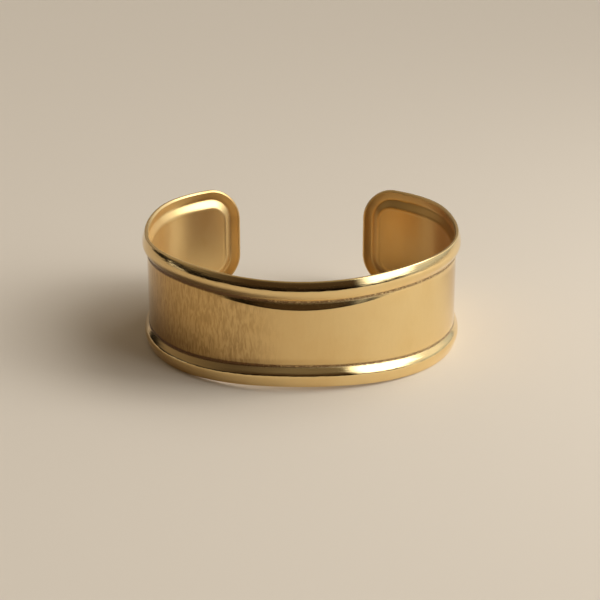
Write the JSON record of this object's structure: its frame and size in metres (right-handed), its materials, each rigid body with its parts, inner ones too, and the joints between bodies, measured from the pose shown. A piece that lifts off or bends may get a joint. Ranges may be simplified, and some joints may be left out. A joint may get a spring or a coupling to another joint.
{
  "type": "cuff bracelet",
  "caption": "Open brass cuff bracelet: a bent band with a smooth panel inside a raised rounded border, rounded ends and a gap at the back.",
  "frame": {"origin": "on the surface it lies on, under the middle of the cuff's box", "axes": "+Z along the wrist, the band's width; +X across the cuff, its longest side; -Y towards the middle of the front, +Y towards the gap"},
  "size_m": [0.0556, 0.0552, 0.0195],
  "materials": {
    "polished_brass": "polished outside, softer satin inside, with light wear along the borders"
  },
  "bodies": {
    "root": {"cuff_band": "polished_brass"}
  },
  "joints": []
}
